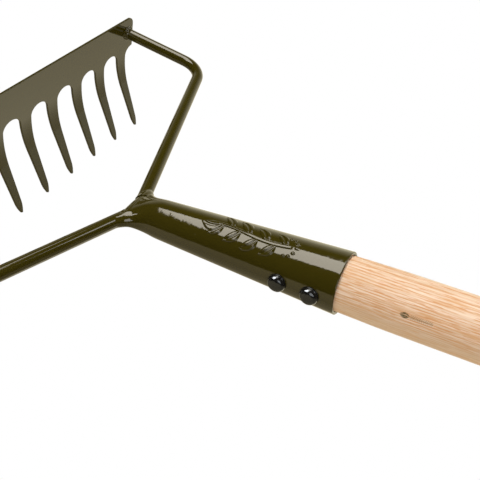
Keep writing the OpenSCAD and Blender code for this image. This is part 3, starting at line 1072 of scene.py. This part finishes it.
def tent_light(tree, diffuse_ray):
    """Light by direction: a large soft light above and ahead (+Y), a pale card on
    the right (+X), a pale table below and two lights behind (-Y)."""
    coords = tree.nodes.new("ShaderNodeTexCoord").outputs["Generated"]
    dx, dy, dz = separate(tree, coords)
    # the soft light, on a level ceiling: u across, v ahead, per unit of height
    height = dz.max(0.02)
    u, v = dx / height, dy / height
    above = dz.step(0.05, 0.10)
    soft = 0.012                      # softness of its edges
    in_right = (0.46 - 0.60 * (v - 0.33).max(0.0)) - u
    in_left = u - (-0.38 - 0.664 * (v - 0.354))
    in_far = 0.668 + 0.075 * (u - 0.3) - v
    ceiling = (in_right.step(-soft, soft * 2) * in_left.step(-soft * 2, soft * 2)
               * in_far.step(-soft, soft) * v.step(-0.12, -0.05) * above)
    # a dimmer panel along its right edge
    panel = (u.step(0.455, 0.475) * u.step(0.70, 0.64)
             * v.step(0.06, 0.13) * v.step(0.36, 0.30) * above)

    azimuth = dx.atan2(dy)            # from +Y towards +X
    elevation = dz / (dx * dx + dy * dy).sqrt().max(0.001)

    def sector(zero, one, other_zero, other_one):
        """1 between two soft edges in azimuth, each from 0 to 1, in degrees."""
        return (azimuth.step(rad(zero), rad(one))
                * azimuth.step(rad(other_zero), rad(other_one)))

    def rise(slope, zero, one):
        """Soft edge in elevation, in degrees."""
        return slope.step(tan_deg(zero), tan_deg(one))

    table = rise(elevation, -11.5, -14.0)
    right = sector(52, 66, 158, 152)
    front_right = sector(25, 40, 66, 52)
    left = sector(-30, -50, -130, -100)
    back_right = sector(112, 130, 158, 152)
    # the card's top comes down towards the back
    card_slope = elevation + (azimuth - rad(60)).max(0.0) * 0.30
    card = (right * 1.25 + front_right * 0.85) * rise(card_slope, 44, -4)
    far_table = rise(elevation, -48, -16)
    table_all = table * (0.46 + left * (0.10 + far_table * 0.24))
    table_right = table * (right * 0.62 + back_right * (0.76 - far_table * 1.00))
    rear_right = (sector(127, 130, 160, 157) * rise(elevation, 22, 26)
                  * rise(elevation, 49.5, 47))
    rear_left = (sector(-98, -102, -140, -136) * rise(elevation, 8, 11)
                 * rise(elevation, 46, 42))
    # (strength, colour) of each light; the last is a faint light all round
    lights = [
        (ceiling * 7.4 + panel * 4.2, (1.03, 0.965, 0.845)),
        (card * (1.0 - table), (1.0, 0.93, 0.68)),
        (table_all * (1.0 + diffuse_ray * 0.10), (1.0, 0.86, 0.54)),
        (table_right, (1.0, 0.93, 0.70)),
        (rear_right * 5.0 + rear_left * 4.0, (1.0, 0.97, 0.92)),
        (1.0, (0.012, 0.012, 0.012)),
    ]
    total = None
    for strength, color in lights:
        scaled = tree.nodes.new("ShaderNodeVectorMath")
        scaled.operation = "SCALE"
        scaled.inputs[0].default_value = color
        feed(tree, strength, scaled.inputs["Scale"])
        if total is None:
            total = scaled.outputs[0]
            continue
        added = tree.nodes.new("ShaderNodeVectorMath")
        added.operation = "ADD"
        tree.links.new(total, added.inputs[0])
        tree.links.new(scaled.outputs[0], added.inputs[1])
        total = added.outputs[0]
    return total


def build_world():
    """The light tent; the camera itself sees plain white."""
    world = bpy.data.worlds.new("studio")
    scene.world = world
    world.use_nodes = True
    tree = world.node_tree
    tree.nodes.clear()
    out = tree.nodes.new("ShaderNodeOutputWorld")
    rays = tree.nodes.new("ShaderNodeLightPath")
    white = tree.nodes.new("ShaderNodeBackground")
    white.inputs[0].default_value = (1, 1, 1, 1)
    white.inputs[1].default_value = 1.0
    tent = tree.nodes.new("ShaderNodeBackground")
    light = tent_light(tree, Value(tree, rays.outputs["Is Diffuse Ray"]))
    tree.links.new(light, tent.inputs[0])
    mix = tree.nodes.new("ShaderNodeMixShader")
    tree.links.new(rays.outputs["Is Camera Ray"], mix.inputs[0])
    tree.links.new(tent.outputs[0], mix.inputs[1])
    tree.links.new(white.outputs[0], mix.inputs[2])
    tree.links.new(mix.outputs[0], out.inputs[0])


def add_sun(name, energy, angle, color, direction, group, receivers):
    """A shadowless sun that shines along direction on the named objects alone."""
    sun = bpy.data.lights.new(name, "SUN")
    sun.energy = energy
    sun.angle = rad(angle)
    sun.color = color
    sun.use_shadow = False
    ob = bpy.data.objects.new(name, sun)
    scene.collection.objects.link(ob)
    ob.rotation_mode = "QUATERNION"
    ob.rotation_quaternion = direction.to_track_quat("-Z", "Y")
    linked = bpy.data.collections.new(group)
    for receiver in receivers:
        linked.objects.link(bpy.data.objects[receiver])
    ob.light_linking.receiver_collection = linked
    return ob


def add_suns(camera):
    # a weak fill from below on the left, for the shaft
    fill = add_sun("shaft_fill", energy=0.85, angle=100, color=(1.0, 0.93, 0.84),
                   direction=Vector((0.80, 0.05, 0.60)),
                   group="fill_receivers", receivers=["ash_shaft"])
    fill.visible_glossy = False
    # a bright lamp, mirrored to the camera by the rivets' upper -X rims
    to_camera = (camera.location - Vector((-0.016, 0.05, 0.0))).normalized()
    rim_rise, rim_turn = rad(56), rad(12)
    rim = Vector((-math.cos(rim_rise), math.sin(rim_rise) * math.sin(rim_turn),
                  math.sin(rim_rise) * math.cos(rim_turn)))
    kick = add_sun("rivet_kick", energy=10.0, angle=42, color=(1.0, 0.97, 0.93),
                   direction=to_camera - 2.0 * rim.dot(to_camera) * rim,
                   group="kick_receivers", receivers=["dome_rivet_rear", "dome_rivet_front"])
    kick.visible_diffuse = False


def build_floor():
    """A plain white floor just under the tines, clear from below."""
    material = bpy.data.materials.new("pale_floor")
    material.use_nodes = True
    tree = material.node_tree
    tree.nodes.clear()
    out = tree.nodes.new("ShaderNodeOutputMaterial")
    glow = tree.nodes.new("ShaderNodeEmission")
    glow.inputs[0].default_value = (1, 1, 1, 1)
    clear = tree.nodes.new("ShaderNodeBsdfTransparent")
    geometry = tree.nodes.new("ShaderNodeNewGeometry")
    mix = tree.nodes.new("ShaderNodeMixShader")
    tree.links.new(geometry.outputs["Backfacing"], mix.inputs[0])
    tree.links.new(glow.outputs[0], mix.inputs[1])
    tree.links.new(clear.outputs[0], mix.inputs[2])
    tree.links.new(mix.outputs[0], out.inputs[0])
    z = min(cad_lo.z, -0.001) - 0.0005
    half = 12
    mesh = bpy.data.meshes.new("floor")
    mesh.from_pydata([(-half, -half, z), (half, -half, z), (half, half, z), (-half, half, z)],
                     [], [(0, 1, 2, 3)])
    floor = bpy.data.objects.new("floor", mesh)
    scene.collection.objects.link(floor)
    mesh.materials.append(material)
    floor.visible_diffuse = False
    floor.visible_glossy = False
    floor.visible_transmission = False
    floor.visible_shadow = False


camera = add_camera()
build_world()
add_suns(camera)
build_floor()

scene.view_settings.view_transform = "Standard"
scene.view_settings.look = "None"
scene.view_settings.exposure = 0.0
scene.view_settings.gamma = 1.0
